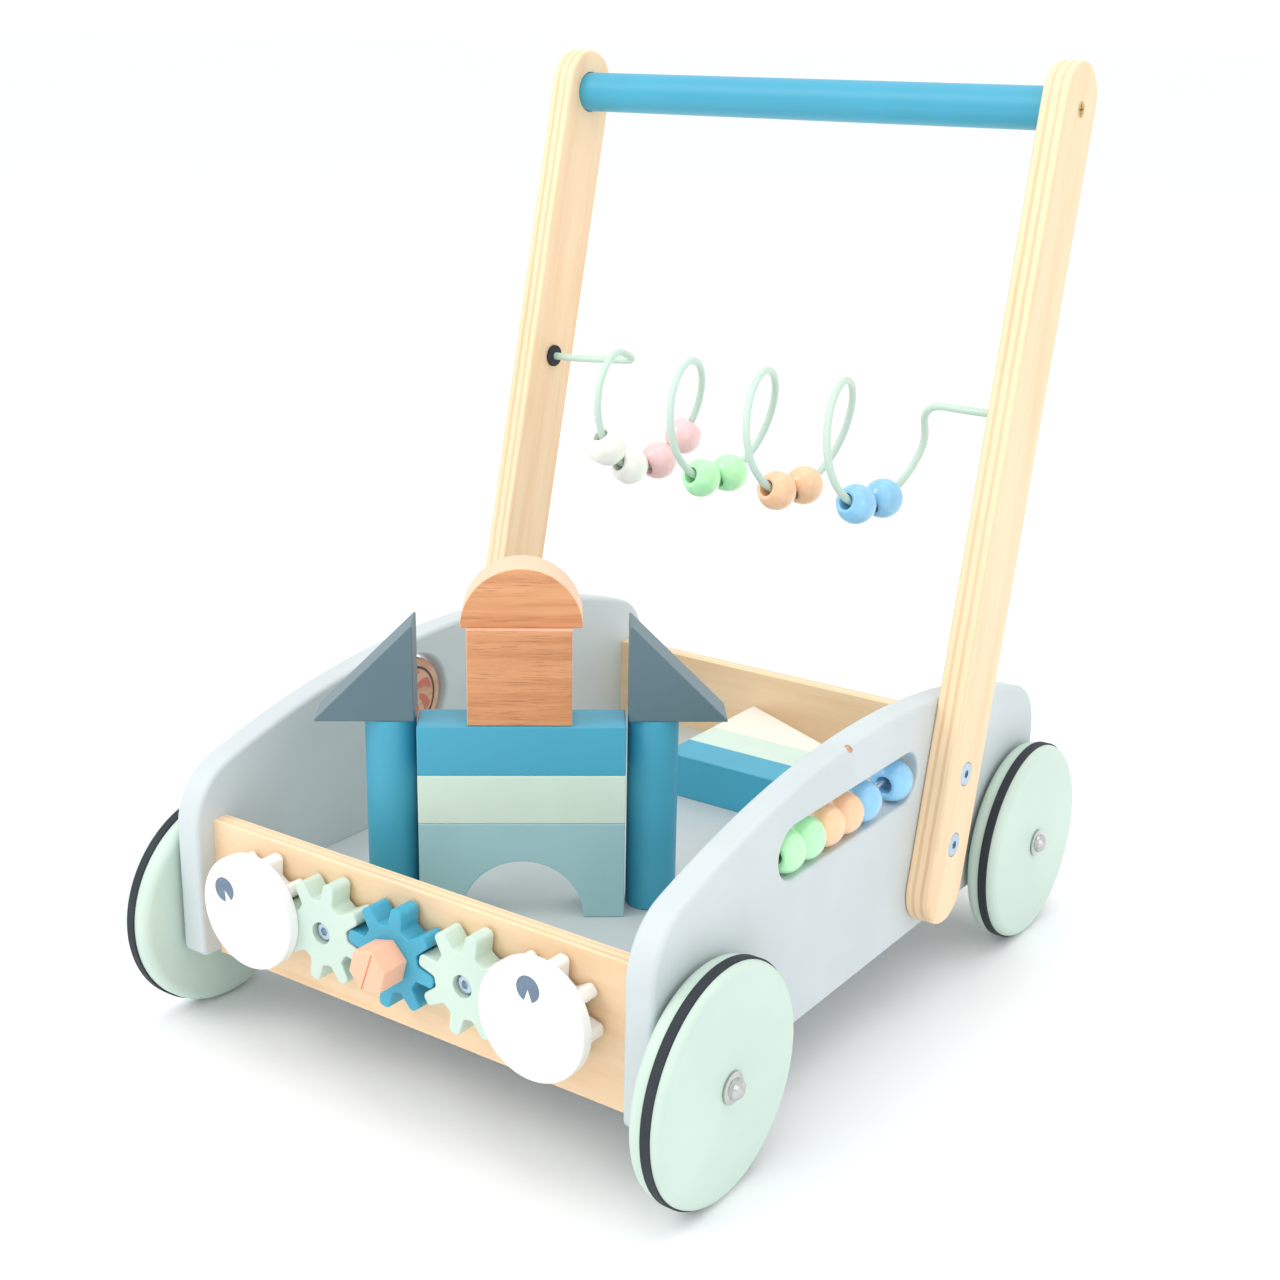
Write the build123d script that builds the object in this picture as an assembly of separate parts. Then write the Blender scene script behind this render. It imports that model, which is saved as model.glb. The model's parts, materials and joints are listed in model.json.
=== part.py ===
from build123d import *
import os
from math import atan, cos, hypot, pi, radians, sin, sqrt, tan

# Wooden baby walker: a tray of building blocks on four wheels, pushed by a leaning handle.
# A train of gears turns on the front, beads slide in a slot and along a coiled wire, and a disc
# spins in the left side. Millimetres, +Z up, the front faces -Y, and the origin is on the floor
# under the middle of the whole walker.

# ---------------------------------------------------------------- driving dimensions
# Wheels and axles
wheelbase = 319.0
wheel_radius = 55.0
wheel_width = 17.0
wheel_edge_round = 4.5
ring_width = 5.0
ring_outward = 1.6
ring_proud = 0.9
ring_groove_depth = 3.0
axle_radius = 3.0
running_clearance = 0.05
wheel_side_gap = 2.2
cap_flange_radius = 7.5
cap_dome_radius = 5.2
cap_height = 6.0
spacer_radius = 7.0

# Side panels
tray_width = 256.0
side_thickness = 15.0
side_front_overhang = 33.0
side_rear_overhang = 28.5
side_base = 40.0
side_crown_height = 168.5
side_crown_from_front = 195.0
side_crown_radius = 533.0
side_front_corner = 34.0
side_rear_corner = 31.0
side_foot_corner = 4.0
side_edge_round = 2.5

# Front, back and floor panels
ply_thickness = 9.0
front_recess = 11.0
front_base = 39.0
front_top = 111.5
back_inner_from_front = 357.0
back_top = 115.5
floor_top = 69.0
floor_thickness = 9.0
floor_tongue = 5.0
groove_clearance = 0.2

# Handle
post_thickness = 14.0
post_width = 38.4
post_centres = 401.0
post_lean = 13.34
post_foot_from_front = 248.1
post_foot_height = 65.4
post_edge_round = 1.6
bar_radius = 10.8
bar_below_top = 4.0
bar_let_in = 5.0
bar_hole_clearance = 0.4
post_bolts_along = (23.5, 61.0)

# Fasteners
bolt_radius = 3.0
bolt_head_radius = 6.3
bolt_head_height = 2.6
bolt_head_proud = 0.3
hex_key = 4.0
nut_flange_radius = 5.6
nut_sleeve_radius = 4.4
nut_flange_height = 1.5
screw_radius = 2.0
screw_head_radius = 4.1
screw_head_depth = 3.0
screw_length = 40.0
screw_heights = (58.0, 95.0)
hole_clearance = 0.2

# Gears and face
gear_teeth = 8
gear_spacing = 43.0
gear_tip_gap = 0.5
gear_root_round = 2.0
gear_thickness = 12.0
gear_height = 81.0
gear_stand_off = 2.0
gear_boss_radius = 8.0
gear_phase = -10.0
gear_recess_radius = 5.5
gear_recess_depth = 5.0
pin_head_radius = 4.6
pin_head_height = 2.6
eye_radius = 28.7
eye_thickness = 7.0
knob_radius = 11.3
knob_length = 15.4
knob_phase = 14.0
knob_groove_angle = 70.0

# Bead slot in the right side
slot_rear_from_front = 235.3
slot_clearance = 2.55
slot_centre_height = 131.45
slot_edge_round = 1.5
rod_radius = 1.5
rod_socket = 9.0
bead_radius = 10.8
bead_bore_round = 0.5
bead_end_gap = 3.4
bead_open_gap = 15.0
bead_front_gap = 5.1
bead_touch_gap = 0.3
bead_hang = 1.9

# Spinning disc in the left side
disc_from_front = 162.0
disc_height = 132.0
disc_radius = 22.5
disc_thickness = 9.0
disc_edge_round = 1.5
disc_hole_radius = 25.0
disc_rod_depth = 9.0

# Coiled bead wire
wire_radius = 2.1
wire_along_post = 244.2
coil_radius = 31.5
coil_pitch = 48.5
coil_centre_from_front = 291.4
coil_centre_height = 281.1
coil_first_top = -86.4
coil_lean = 2.9
coil_corners = 12
wire_bead_drop = 0.35
grommet_radius = 6.2
grommet_flange = 2.0
grommet_sleeve_radius = 4.0
grommet_depth = 10.0

# Building blocks
block = 25.0
block_edge_round = 0.7
castle_turn = 37.2
castle_x = 6.9
castle_from_front = 85.1
column_gap = 1.2
column_setback = 7.0
cube_setback = 1.0
half_round_setback = 4.0
block_gap = 0.3
rear_blocks_x = -28.0

# ---------------------------------------------------------------- worked-out places
axle_height = wheel_radius + ring_proud
front_axle = -wheelbase / 2
rear_axle = wheelbase / 2
side_front = front_axle - side_front_overhang
side_rear = rear_axle + side_rear_overhang
side_inner = tray_width / 2
side_outer = side_inner + side_thickness
side_middle = side_inner + side_thickness / 2
wheel_inner = side_outer + wheel_side_gap
wheel_outer = wheel_inner + wheel_width
ring_middle = (wheel_inner + wheel_outer) / 2 + ring_outward
front_face = side_front + front_recess
front_inner = front_face + ply_thickness
back_inner = side_front + back_inner_from_front
post_outer = side_outer + post_thickness
post_foot_y = side_front + post_foot_from_front
gear_back = front_face - gear_stand_off
gear_front = gear_back - gear_thickness
gear_outer_radius = 0.6047 * gear_spacing
gear_root_radius = gear_spacing - gear_outer_radius - gear_tip_gap
gear_tooth_root_width = 0.2186 * gear_spacing
gear_tooth_tip_width = 0.1442 * gear_spacing
slot_height = 2 * (bead_radius + slot_clearance)
bead_bore = 0.4 * bead_radius
bead_half_length = bead_radius / 1.2
bead_rim = sqrt(bead_radius ** 2 - bead_half_length ** 2)
bead_step = 2 * bead_half_length + bead_touch_gap
slot_gaps = bead_front_gap + bead_open_gap + bead_end_gap
slot_length = 2 * bead_radius + 4 * bead_step + 2 * bead_half_length + slot_gaps
slot_rear = side_front + slot_rear_from_front
slot_front = slot_rear - slot_length
disc_y = side_front + disc_from_front
coil_y = side_front + coil_centre_from_front
coil_advance = coil_pitch / (2 * pi)
arch_radius = 1.2 * block
half_round_radius = 1.16 * block
triangle_leg = 1.94 * block
cube_height = 1.92 * block
wedge_length = 3.88 * block
wedge_depth = 1.84 * block
rear_blocks_y = back_inner - wedge_depth - 2 * block - 3 * block_gap


def post_point(along):
    """Place in the side view, (y, z), at a distance up the post from its lower centre."""
    lean = radians(post_lean)
    return post_foot_y + along * sin(lean), post_foot_height + along * cos(lean)


bar_y, bar_z = post_point(post_centres - bar_below_top)
wire_y, wire_z = post_point(wire_along_post)


# ---------------------------------------------------------------- helpers
def save(name, *solids):
    """Write one node, which holds one solid or a group of separate solids."""
    whole = solids[0] if len(solids) == 1 else Compound(children=list(solids))
    export_step(whole, os.path.join("parts", name + ".step"))


def rod(radius, start, end):
    """A round bar between two points."""
    axis = Vector(*end) - Vector(*start)
    face = Plane(origin=start, z_dir=axis) * Circle(radius)
    return extrude(face, amount=axis.length, dir=axis.normalized()).solid()


def ring(outer, inner, start, end):
    """A round tube between two points."""
    return (rod(outer, start, end) - rod(inner, start, end)).solid()


def cross(x, y, z, radius, length):
    """A hole cutter along X from x, over a signed length."""
    return rod(radius, (x, y, z), (x + length, y, z))


def both_sides(shape):
    """A shape on the right and its mirror image on the left."""
    return [shape, mirror(shape, about=Plane.YZ)]


def turned(profile, place):
    """A solid of revolution from an (r, h) outline, its axis along the Z of a place."""
    face = Plane.XZ * make_face(Polyline(*profile, close=True))
    return place * revolve(face, Axis.Z).solid()


def along_x(x, y, z):
    """A place whose Z runs along X."""
    return Plane(origin=(x, y, z), x_dir=(0, 1, 0), z_dir=(1, 0, 0))


# ---------------------------------------------------------------- body
def crown(y):
    """Height of the long top curve of a side panel."""
    return side_crown_height - side_crown_radius + sqrt(
        side_crown_radius ** 2 - (y - side_front - side_crown_from_front) ** 2)


def near(shape, x, y):
    """The corners of a flat shape at a point."""
    return [v for v in shape.vertices() if hypot(v.X - x, v.Y - y) < 0.5]


def side_blank():
    """Right side panel with its outline and round edges, before any holes."""
    front_corner = (side_front, crown(side_front))
    rear_corner = (side_rear, crown(side_rear))
    top_middle = (side_front + side_crown_from_front, side_crown_height)
    outline = Polyline(front_corner, (side_front, side_base), (side_rear, side_base), rear_corner)
    face = make_face(outline + ThreePointArc(rear_corner, top_middle, front_corner))
    face = fillet(near(face, *front_corner), side_front_corner)
    face = fillet(near(face, *rear_corner), side_rear_corner)
    face = fillet(near(face, side_front, side_base) + near(face, side_rear, side_base), side_foot_corner)
    blank = extrude(Plane.YZ.offset(side_inner) * face, side_thickness)
    rims = [e for e in blank.edges() if e.bounding_box().size.X < 0.01]
    return fillet(rims, side_edge_round)


def ease_rims(panel, centre_y, centre_z, radius):
    """Round the rims of an opening in a side panel."""
    rims = []
    for edge in panel.edges():
        box = edge.bounding_box()
        near_middle = abs(box.center().Z - centre_z) < slot_height
        if box.size.X < 0.01 and near_middle and abs(box.center().Y - centre_y) < slot_length / 2:
            rims.append(edge)
    return fillet(rims, radius)


def side_holes():
    """Cutters that both side panels share, for the right side."""
    cuts = [cross(side_inner - 1, y, axle_height, axle_radius + hole_clearance, side_thickness + 2)
            for y in (front_axle, rear_axle)]
    for along in post_bolts_along:
        y, z = post_point(along)
        cuts.append(cross(side_inner - 1, y, z, nut_sleeve_radius + hole_clearance, side_thickness + 2))
    for y in (front_face + ply_thickness / 2, back_inner + ply_thickness / 2):
        for z in screw_heights:
            cuts.append(cross(side_inner - 1, y, z, screw_radius, side_thickness + 2))
            cuts.append(screw_head(side_outer, y, z))
    groove = Box(floor_tongue + groove_clearance, back_inner - front_inner,
                 floor_thickness + 2 * groove_clearance, align=(Align.MIN, Align.MIN, Align.MAX))
    cuts.append(Pos(side_inner, front_inner, floor_top + groove_clearance) * groove)
    return cuts


def screw_head(x, y, z):
    """Countersunk head of a screw that is driven from +X, its flat face at x."""
    return turned([(0, 0), (screw_head_radius, 0), (screw_radius, -screw_head_depth),
                   (0, -screw_head_depth)], along_x(x, y, z))


def cross_recess(x, y, z):
    """The cross in a screw's head."""
    arm = Box(2.4, 0.8 * screw_head_radius * 1.5, 0.9)
    return Pos(x, y, z) * (arm + Rot(90, 0, 0) * arm)


def wood_screw(x, y, z, length):
    """A countersunk screw driven from +X."""
    shank = cross(x, y, z, screw_radius, -length)
    return (screw_head(x, y, z) + shank - cross_recess(x, y, z)).solid()


def stadium(length, height):
    """A flat round-ended outline about its centre."""
    return SlotOverall(length, height)


def make_side_right():
    """The side with the bead slot."""
    slot_y = (slot_front + slot_rear) / 2
    slot = extrude(Plane.YZ.offset(side_inner - 1) * Pos(slot_y, slot_centre_height)
                   * stadium(slot_length, slot_height), side_thickness + 2)
    panel = side_blank() - slot
    panel = ease_rims(panel, slot_y, slot_centre_height, slot_edge_round)
    panel -= rod(rod_radius, (side_middle, slot_front - rod_socket, slot_centre_height),
                 (side_middle, slot_rear + rod_socket, slot_centre_height))
    for cut in side_holes():
        panel -= cut
    return panel.solid()


def make_side_left():
    """The side with the round hole for the spinning disc."""
    panel = side_blank() - cross(side_inner - 1, disc_y, disc_height, disc_hole_radius, side_thickness + 2)
    panel = ease_rims(panel, disc_y, disc_height, slot_edge_round)
    panel -= rod(rod_radius, (side_middle, disc_y, disc_height - disc_hole_radius - disc_rod_depth),
                 (side_middle, disc_y, side_crown_height + 5))
    for cut in side_holes():
        panel -= cut
    return mirror(panel, about=Plane.YZ).solid()


def make_cross_panel(y, base, top, gear_holes=False):
    """A plywood board between the sides, with pilot holes for its screws."""
    board = Pos(0, y + ply_thickness / 2, (base + top) / 2) * Box(tray_width, ply_thickness, top - base)
    board = fillet(board.edges().filter_by(Axis.X), block_edge_round)
    for z in screw_heights:
        for hole in both_sides(cross(side_inner + 1, y + ply_thickness / 2, z, screw_radius,
                                     side_thickness - screw_length)):
            board -= hole
    if gear_holes:
        for x in gear_places:
            board -= rod(screw_radius, (x, y - 1, gear_height), (x, y + ply_thickness + 1, gear_height))
    return board.solid()


def make_floor():
    """Tray floor with a tongue along each side, which fits a groove in the side panel."""
    return (Pos(0, front_inner, floor_top) * Box(
        tray_width + 2 * floor_tongue, back_inner - front_inner, floor_thickness,
        align=(Align.CENTER, Align.MIN, Align.MAX))).solid()


# ---------------------------------------------------------------- handle
def make_post():
    """Right handle post, round at both ends."""
    middle = post_point(post_centres / 2)
    face = Pos(*middle) * Rot(0, 0, 90 - post_lean) * stadium(post_centres + post_width, post_width)
    post = extrude(Plane.YZ.offset(side_outer) * face, post_thickness)
    rims = [e for e in post.edges() if e.bounding_box().size.X < 0.01]
    post = fillet(rims, post_edge_round)
    post -= cross(side_outer - 1, bar_y, bar_z, bar_radius + bar_hole_clearance, bar_let_in + 1)
    post -= cross(side_outer - 1, bar_y, bar_z, screw_radius, post_thickness + 2)
    post -= screw_head(post_outer, bar_y, bar_z)
    post -= cross(side_outer - 1, wire_y, wire_z, grommet_sleeve_radius, grommet_depth + 1)
    for along in post_bolts_along:
        y, z = post_point(along)
        post -= cross(side_outer - 1, y, z, bolt_radius + hole_clearance, post_thickness + 2)
        post -= cross(post_outer + 1, y, z, bolt_head_radius + hole_clearance,
                      bolt_head_proud - bolt_head_height - 1)
    return post.solid()


def make_bar():
    """Handle bar, let into both posts, with a pilot hole in each end."""
    end = side_outer + bar_let_in
    bar = rod(bar_radius, (-end, bar_y, bar_z), (end, bar_y, bar_z))
    for hole in both_sides(cross(end + 1, bar_y, bar_z, screw_radius, -screw_length)):
        bar -= hole
    return bar.solid()


def make_post_bolt(along):
    """A flat-headed socket bolt, from the outside of the post into its sleeve nut."""
    y, z = post_point(along)
    face = post_outer + bolt_head_proud
    head = cross(face, y, z, bolt_head_radius, -bolt_head_height)
    head = chamfer(head.edges().group_by(Axis.X)[-1], 0.5)
    shank = cross(face, y, z, bolt_radius, -(post_thickness + side_thickness - 2))
    socket = Plane(origin=(face, y, z), z_dir=(-1, 0, 0)) * RegularPolygon(
        hex_key / 2, 6, major_radius=False)
    return (head + shank - extrude(socket, 1.8)).solid()


def make_sleeve_nut(along):
    """A sleeve nut let into the tray side of a side panel."""
    y, z = post_point(along)
    flange = cross(side_inner, y, z, nut_flange_radius, -nut_flange_height)
    flange = fillet(flange.edges().group_by(Axis.X)[0], 0.6)
    sleeve = cross(side_inner, y, z, nut_sleeve_radius, side_thickness - 1)
    return (flange + sleeve - cross(side_inner + 1.5, y, z, bolt_radius, side_thickness)).solid()


# ---------------------------------------------------------------- wheels
def make_wheel(y):
    """Right wheel with a groove round its tread for the rubber ring."""
    wheel = cross(wheel_inner, y, axle_height, wheel_radius, wheel_width)
    wheel = fillet(wheel.edges(), wheel_edge_round)
    groove = ring(wheel_radius + 1, wheel_radius - ring_groove_depth,
                  (ring_middle - ring_width / 2, y, axle_height),
                  (ring_middle + ring_width / 2, y, axle_height))
    bore = cross(wheel_inner - 1, y, axle_height, axle_radius + running_clearance, wheel_width + 2)
    return (wheel - groove - bore).solid()


def make_ring(y):
    """Rubber ring in the tread of a right wheel, standing a little proud of it."""
    inner = wheel_radius - ring_groove_depth
    outer = wheel_radius + ring_proud
    half = ring_width / 2
    profile = [(inner, -half), (wheel_radius, -half), (outer, 0.4 * ring_proud - half),
               (outer, half - 0.4 * ring_proud), (wheel_radius, half), (inner, half)]
    return turned(profile, along_x(ring_middle, y, axle_height))


def make_cap(y):
    """Domed push-on cap on the right end of an axle."""
    profile = [(axle_radius, 0.4), (cap_flange_radius, 0.4), (cap_flange_radius, 1.2),
               (cap_dome_radius, 1.8), (cap_dome_radius * 0.94, 3.4),
               (cap_dome_radius * 0.7, cap_height - 1.0),
               (cap_dome_radius * 0.36, cap_height - 0.2), (0, cap_height), (0, cap_height - 1.6),
               (axle_radius, cap_height - 1.6)]
    return turned(profile, along_x(wheel_outer, y, axle_height))


def make_axle(y):
    """Steel axle through both side panels, ending inside its two caps."""
    end = wheel_outer + cap_height - 1.6
    return rod(axle_radius, (-end, y, axle_height), (end, y, axle_height))


def make_spacer(y):
    """Washer that keeps a right wheel off the side panel."""
    return ring(spacer_radius, axle_radius + running_clearance,
                (side_outer, y, axle_height), (wheel_inner - 0.3, y, axle_height))


# ---------------------------------------------------------------- gears
gear_places = [gear_spacing * step for step in (-2, -1, 0, 1, 2)]


def gear_blank(phase):
    """Round-fingered gear about Z, its back face at Z = 0."""
    root = gear_tooth_root_width / 2
    tip = gear_tooth_tip_width / 2
    tooth = make_face(Polyline((gear_root_radius / 2, -root), (gear_outer_radius, -tip),
                               (gear_outer_radius, tip), (gear_root_radius / 2, root), close=True))
    outline = Circle(gear_root_radius)
    for step in range(gear_teeth):
        outline += Rot(0, 0, phase + step * 360 / gear_teeth) * tooth
    gear = extrude(outline, gear_thickness)
    upright = gear.edges().filter_by(Axis.Z)
    tips = [e for e in upright if hypot(e.center().X, e.center().Y) > gear_outer_radius - 0.5]
    gear = fillet(tips, 0.8 * tip)
    upright = gear.edges().filter_by(Axis.Z)
    roots = [e for e in upright if abs(hypot(e.center().X, e.center().Y) - gear_root_radius) < 1.2]
    return fillet(roots, gear_root_round)


def make_gear(step):
    """One gear of the train on the front panel, with a recess for its pin's head."""
    phase = gear_phase if step % 2 == 0 else 180 - gear_phase + 180 / gear_teeth
    gear = gear_blank(phase)
    gear = fillet(gear.edges().group_by(Axis.Z)[-1], 0.8)
    gear += Pos(0, 0, -gear_stand_off + 0.2) * Cylinder(gear_boss_radius, gear_stand_off - 0.2,
                                                       align=(Align.CENTER, Align.CENTER, Align.MIN))
    gear -= Cylinder(axle_radius + running_clearance, 60)
    gear -= Pos(0, 0, gear_thickness - gear_recess_depth) * Cylinder(
        gear_recess_radius, gear_recess_depth + 1, align=(Align.CENTER, Align.CENTER, Align.MIN))
    return (Plane(origin=(gear_places[step], gear_back, gear_height), x_dir=(1, 0, 0),
                  z_dir=(0, -1, 0)) * gear).solid()


def make_gear_pin(x):
    """Shouldered screw that a gear turns on."""
    head_back = gear_thickness - gear_recess_depth + 0.3
    head = Pos(0, 0, head_back) * Cylinder(pin_head_radius, pin_head_height,
                                           align=(Align.CENTER, Align.CENTER, Align.MIN))
    head = fillet(head.edges().group_by(Axis.Z)[-1], 0.9)
    shoulder = Pos(0, 0, -gear_stand_off) * Cylinder(
        axle_radius, head_back + gear_stand_off, align=(Align.CENTER, Align.CENTER, Align.MIN))
    thread = Pos(0, 0, -gear_stand_off) * Cylinder(
        screw_radius, ply_thickness - 1, align=(Align.CENTER, Align.CENTER, Align.MAX))
    socket = Pos(0, 0, head_back + pin_head_height - 1.6) * extrude(
        RegularPolygon(hex_key / 2, 6, major_radius=False), 2)
    pin = head + shoulder + thread - socket
    return (Plane(origin=(x, gear_back, gear_height), x_dir=(1, 0, 0), z_dir=(0, -1, 0)) * pin).solid()


def make_eye(x):
    """White disc glued on an end gear."""
    eye = Cylinder(eye_radius, eye_thickness, align=(Align.CENTER, Align.CENTER, Align.MIN))
    eye = fillet(eye.edges().group_by(Axis.Z)[-1], 1.6)
    eye = fillet(eye.edges().group_by(Axis.Z)[0], 0.8)
    return (Plane(origin=(x, gear_front, gear_height), x_dir=(1, 0, 0), z_dir=(0, -1, 0)) * eye).solid()


def make_knob():
    """Six-sided knob on the middle gear, with a groove across its face."""
    knob = extrude(RegularPolygon(knob_radius, 6, rotation=knob_phase), knob_length)
    knob = fillet(knob.edges(), 0.6)
    groove = Pos(0, 0, knob_length) * Rot(0, 0, knob_groove_angle) * Box(1.8 * knob_radius, 0.9, 1.6)
    knob -= groove
    return (Plane(origin=(0, gear_front, gear_height), x_dir=(1, 0, 0), z_dir=(0, -1, 0)) * knob).solid()


# ---------------------------------------------------------------- beads, rods and wire
def make_bead(place):
    """A drilled ball with flat ends, its bore along the Z of a place."""
    ends = Polyline((bead_rim, -bead_half_length), (bead_bore, -bead_half_length),
                    (bead_bore, bead_half_length), (bead_rim, bead_half_length))
    side = ThreePointArc((bead_rim, bead_half_length), (bead_radius, 0), (bead_rim, -bead_half_length))
    face = make_face(ends + side)
    face = fillet(face.vertices(), bead_bore_round)
    return (place * revolve(Plane.XZ * face, Axis.Z)).solid()


def slot_bead_places():
    """Centres of the slot beads: one at the rear end, the rest together in front of a gap."""
    last = slot_rear - bead_radius - bead_end_gap
    fifth = last - 2 * bead_half_length - bead_open_gap
    return [fifth - bead_step * back for back in (4, 3, 2, 1, 0)] + [last]


def make_slot_bead(y):
    return make_bead(Plane(origin=(side_middle, y, slot_centre_height - bead_hang), z_dir=(0, 1, 0)))


def make_slot_rod():
    """Steel rod along the bead slot, with its ends in the panel."""
    return rod(rod_radius, (side_middle, slot_front - rod_socket, slot_centre_height),
               (side_middle, slot_rear + rod_socket, slot_centre_height))


def make_disc():
    """Wooden disc in the left side, bored across for its rod."""
    disc = cross(-side_middle - disc_thickness / 2, disc_y, disc_height, disc_radius, disc_thickness)
    disc = fillet(disc.edges(), disc_edge_round)
    return (disc - rod(rod_radius + running_clearance, (-side_middle, disc_y, disc_height - 2 * disc_radius),
                       (-side_middle, disc_y, disc_height + 2 * disc_radius))).solid()


def make_disc_rod():
    """Upright steel rod through the disc, put in from the top edge of the panel."""
    return rod(rod_radius, (-side_middle, disc_y, disc_height - disc_hole_radius - disc_rod_depth),
               (-side_middle, disc_y, crown(disc_y) - 1.5))


def coil_point(turn, radius=coil_radius):
    """A point of the coil. turn is in radians and is 0 at the top of the second loop."""
    return (coil_first_top + coil_pitch + coil_advance * turn + coil_lean * (cos(turn) - 1),
            coil_y - radius * sin(turn), coil_centre_height + radius * cos(turn))


def wire_route():
    """Corners of the wire: a lead from each post and the coil between them."""
    reach = side_outer + grommet_depth
    corner_radius = coil_radius / cos(pi / coil_corners)
    step = 2 * pi / coil_corners
    first = -2 * pi - 0.05
    coil = [coil_point(first + step * n, corner_radius) for n in range(4 * coil_corners - 2)]
    start = [(-reach, wire_y, wire_z), (-side_inner, wire_y, wire_z),
             (coil_first_top + 2.5, wire_y + 1.5, wire_z + 3)]
    end = [(coil[-1][0] + 5, wire_y + 4, wire_z), (side_inner, wire_y, wire_z), (reach, wire_y, wire_z)]
    return start + coil + end


def corner_radii(route):
    """The largest easy radius at each inner corner of a route."""
    points = [Vector(*p) for p in route]
    radii = []
    for before, here, after in zip(points, points[1:], points[2:]):
        run = min((here - before).length, (after - here).length)
        half_turn = radians((here - before).get_angle(after - here)) / 2
        radii.append(0.45 * run / tan(half_turn))
    return radii


def make_wire():
    """Stiff wire in long upright loops between the posts."""
    route = wire_route()
    path = FilletPolyline(*route, radius=corner_radii(route))
    section = Plane(origin=path @ 0, z_dir=path % 0) * Circle(wire_radius)
    return sweep(section, path=path).solid()


def make_grommet():
    """Black bush on the inner face of the right post, round the wire's end."""
    flange = cross(side_outer, wire_y, wire_z, grommet_radius, -grommet_flange)
    flange = fillet(flange.edges().group_by(Axis.X)[0], 0.9)
    sleeve = cross(side_outer, wire_y, wire_z, grommet_sleeve_radius, grommet_depth)
    return (flange + sleeve - cross(side_outer - 5, wire_y, wire_z, wire_radius + 0.1, 30)).solid()


def bend_frame(turn):
    """The wire's bend at a point: its centre, the directions along and inward, and its radius."""
    along = Vector(coil_advance - coil_lean * sin(turn), -coil_radius * cos(turn), -coil_radius * sin(turn))
    bend = Vector(-coil_lean * cos(turn), coil_radius * sin(turn), -coil_radius * cos(turn))
    tangent = along.normalized()
    inward = bend - tangent * bend.dot(tangent)
    radius = along.length ** 2 / inward.length
    inward = inward.normalized()
    return Vector(*coil_point(turn)) + inward * radius, tangent, inward, radius


def make_wire_beads(turn):
    """Two beads side by side on the wire."""
    centre, along, inward, radius = bend_frame(turn)
    half_step = atan((bead_half_length + bead_touch_gap / 2) / (radius + wire_bead_drop - bead_rim))
    beads = []
    for swing in (-half_step, half_step):
        out = along * sin(swing) - inward * cos(swing)
        bore = along * cos(swing) + inward * sin(swing)
        beads.append(make_bead(Plane(origin=centre + out * (radius + wire_bead_drop), z_dir=bore)))
    return beads


# ---------------------------------------------------------------- building blocks
castle = Location((castle_x, side_front + castle_from_front, floor_top), (0, 0, castle_turn))


def eased(shape):
    """A block with its edges softened."""
    return fillet(shape.edges(), block_edge_round)


def slab(width, depth, height):
    """A plain block standing on the floor of its frame, its front face at y = 0."""
    return eased(Box(width, depth, height, align=(Align.CENTER, Align.MIN, Align.MIN)))


def make_arch():
    plain = Box(4 * block, block, 2 * block, align=(Align.CENTER, Align.MIN, Align.MIN))
    return eased(plain - Rot(90, 0, 0) * Cylinder(arch_radius, 5 * block))


def make_half_round():
    disc = Rot(90, 0, 0) * Cylinder(half_round_radius, block, align=(Align.CENTER, Align.CENTER, Align.MAX))
    return eased(disc - Box(200, 200, 100, align=(Align.CENTER, Align.CENTER, Align.MAX)))


def make_triangle(sign):
    """Right-angled block, its upright edge at x = 0 and its point towards sign."""
    outline = make_face(Polyline((0, 0), (sign * triangle_leg, 0), (0, triangle_leg), close=True))
    return eased(extrude(Plane.XZ * outline, -block))


def make_column():
    column = Cylinder(block / 2, 4 * block, align=(Align.CENTER, Align.CENTER, Align.MIN))
    return eased(column)


def make_wedge():
    """Long low wedge lying flat, its square corner at the front left."""
    outline = make_face(Polyline((0, 0), (wedge_length, 0), (0, wedge_depth), close=True))
    return eased(extrude(outline, block))


def make_blocks():
    """Every loose block, by name, where it stands."""
    column_x = 2 * block + column_gap + block / 2
    column_y = column_setback + block / 2
    triangle_x = 2 * block + column_gap + 0.3
    level = [2 * block, 3 * block, 4 * block, 4 * block + cube_height]
    rear = Location((rear_blocks_x, rear_blocks_y, floor_top))
    long_block = slab(4 * block, block, block)
    return {
        "block_arch": castle * make_arch(),
        "block_plank_mint": castle * Pos(0, 0, level[0]) * long_block,
        "block_plank_blue": castle * Pos(0, 0, level[1]) * long_block,
        "block_square": castle * Pos(-0.9, cube_setback, level[2]) * slab(2 * block, block, cube_height),
        "block_half_round": castle * Pos(0, half_round_setback, level[3]) * make_half_round(),
        "block_column_left": castle * Pos(-column_x, column_y, 0) * make_column(),
        "block_column_right": castle * Pos(column_x, column_y, 0) * make_column(),
        "block_triangle_left": castle * Pos(-triangle_x, column_setback, level[2]) * make_triangle(-1),
        "block_triangle_right": castle * Pos(triangle_x, column_setback, level[2]) * make_triangle(1),
        "rear_block_blue": rear * Pos(2 * block, 0, 0) * long_block,
        "rear_block_mint": rear * Pos(2 * block, block + block_gap, 0) * long_block,
        "rear_block_wedge": rear * Pos(0, 2 * (block + block_gap), 0) * make_wedge(),
    }


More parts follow.
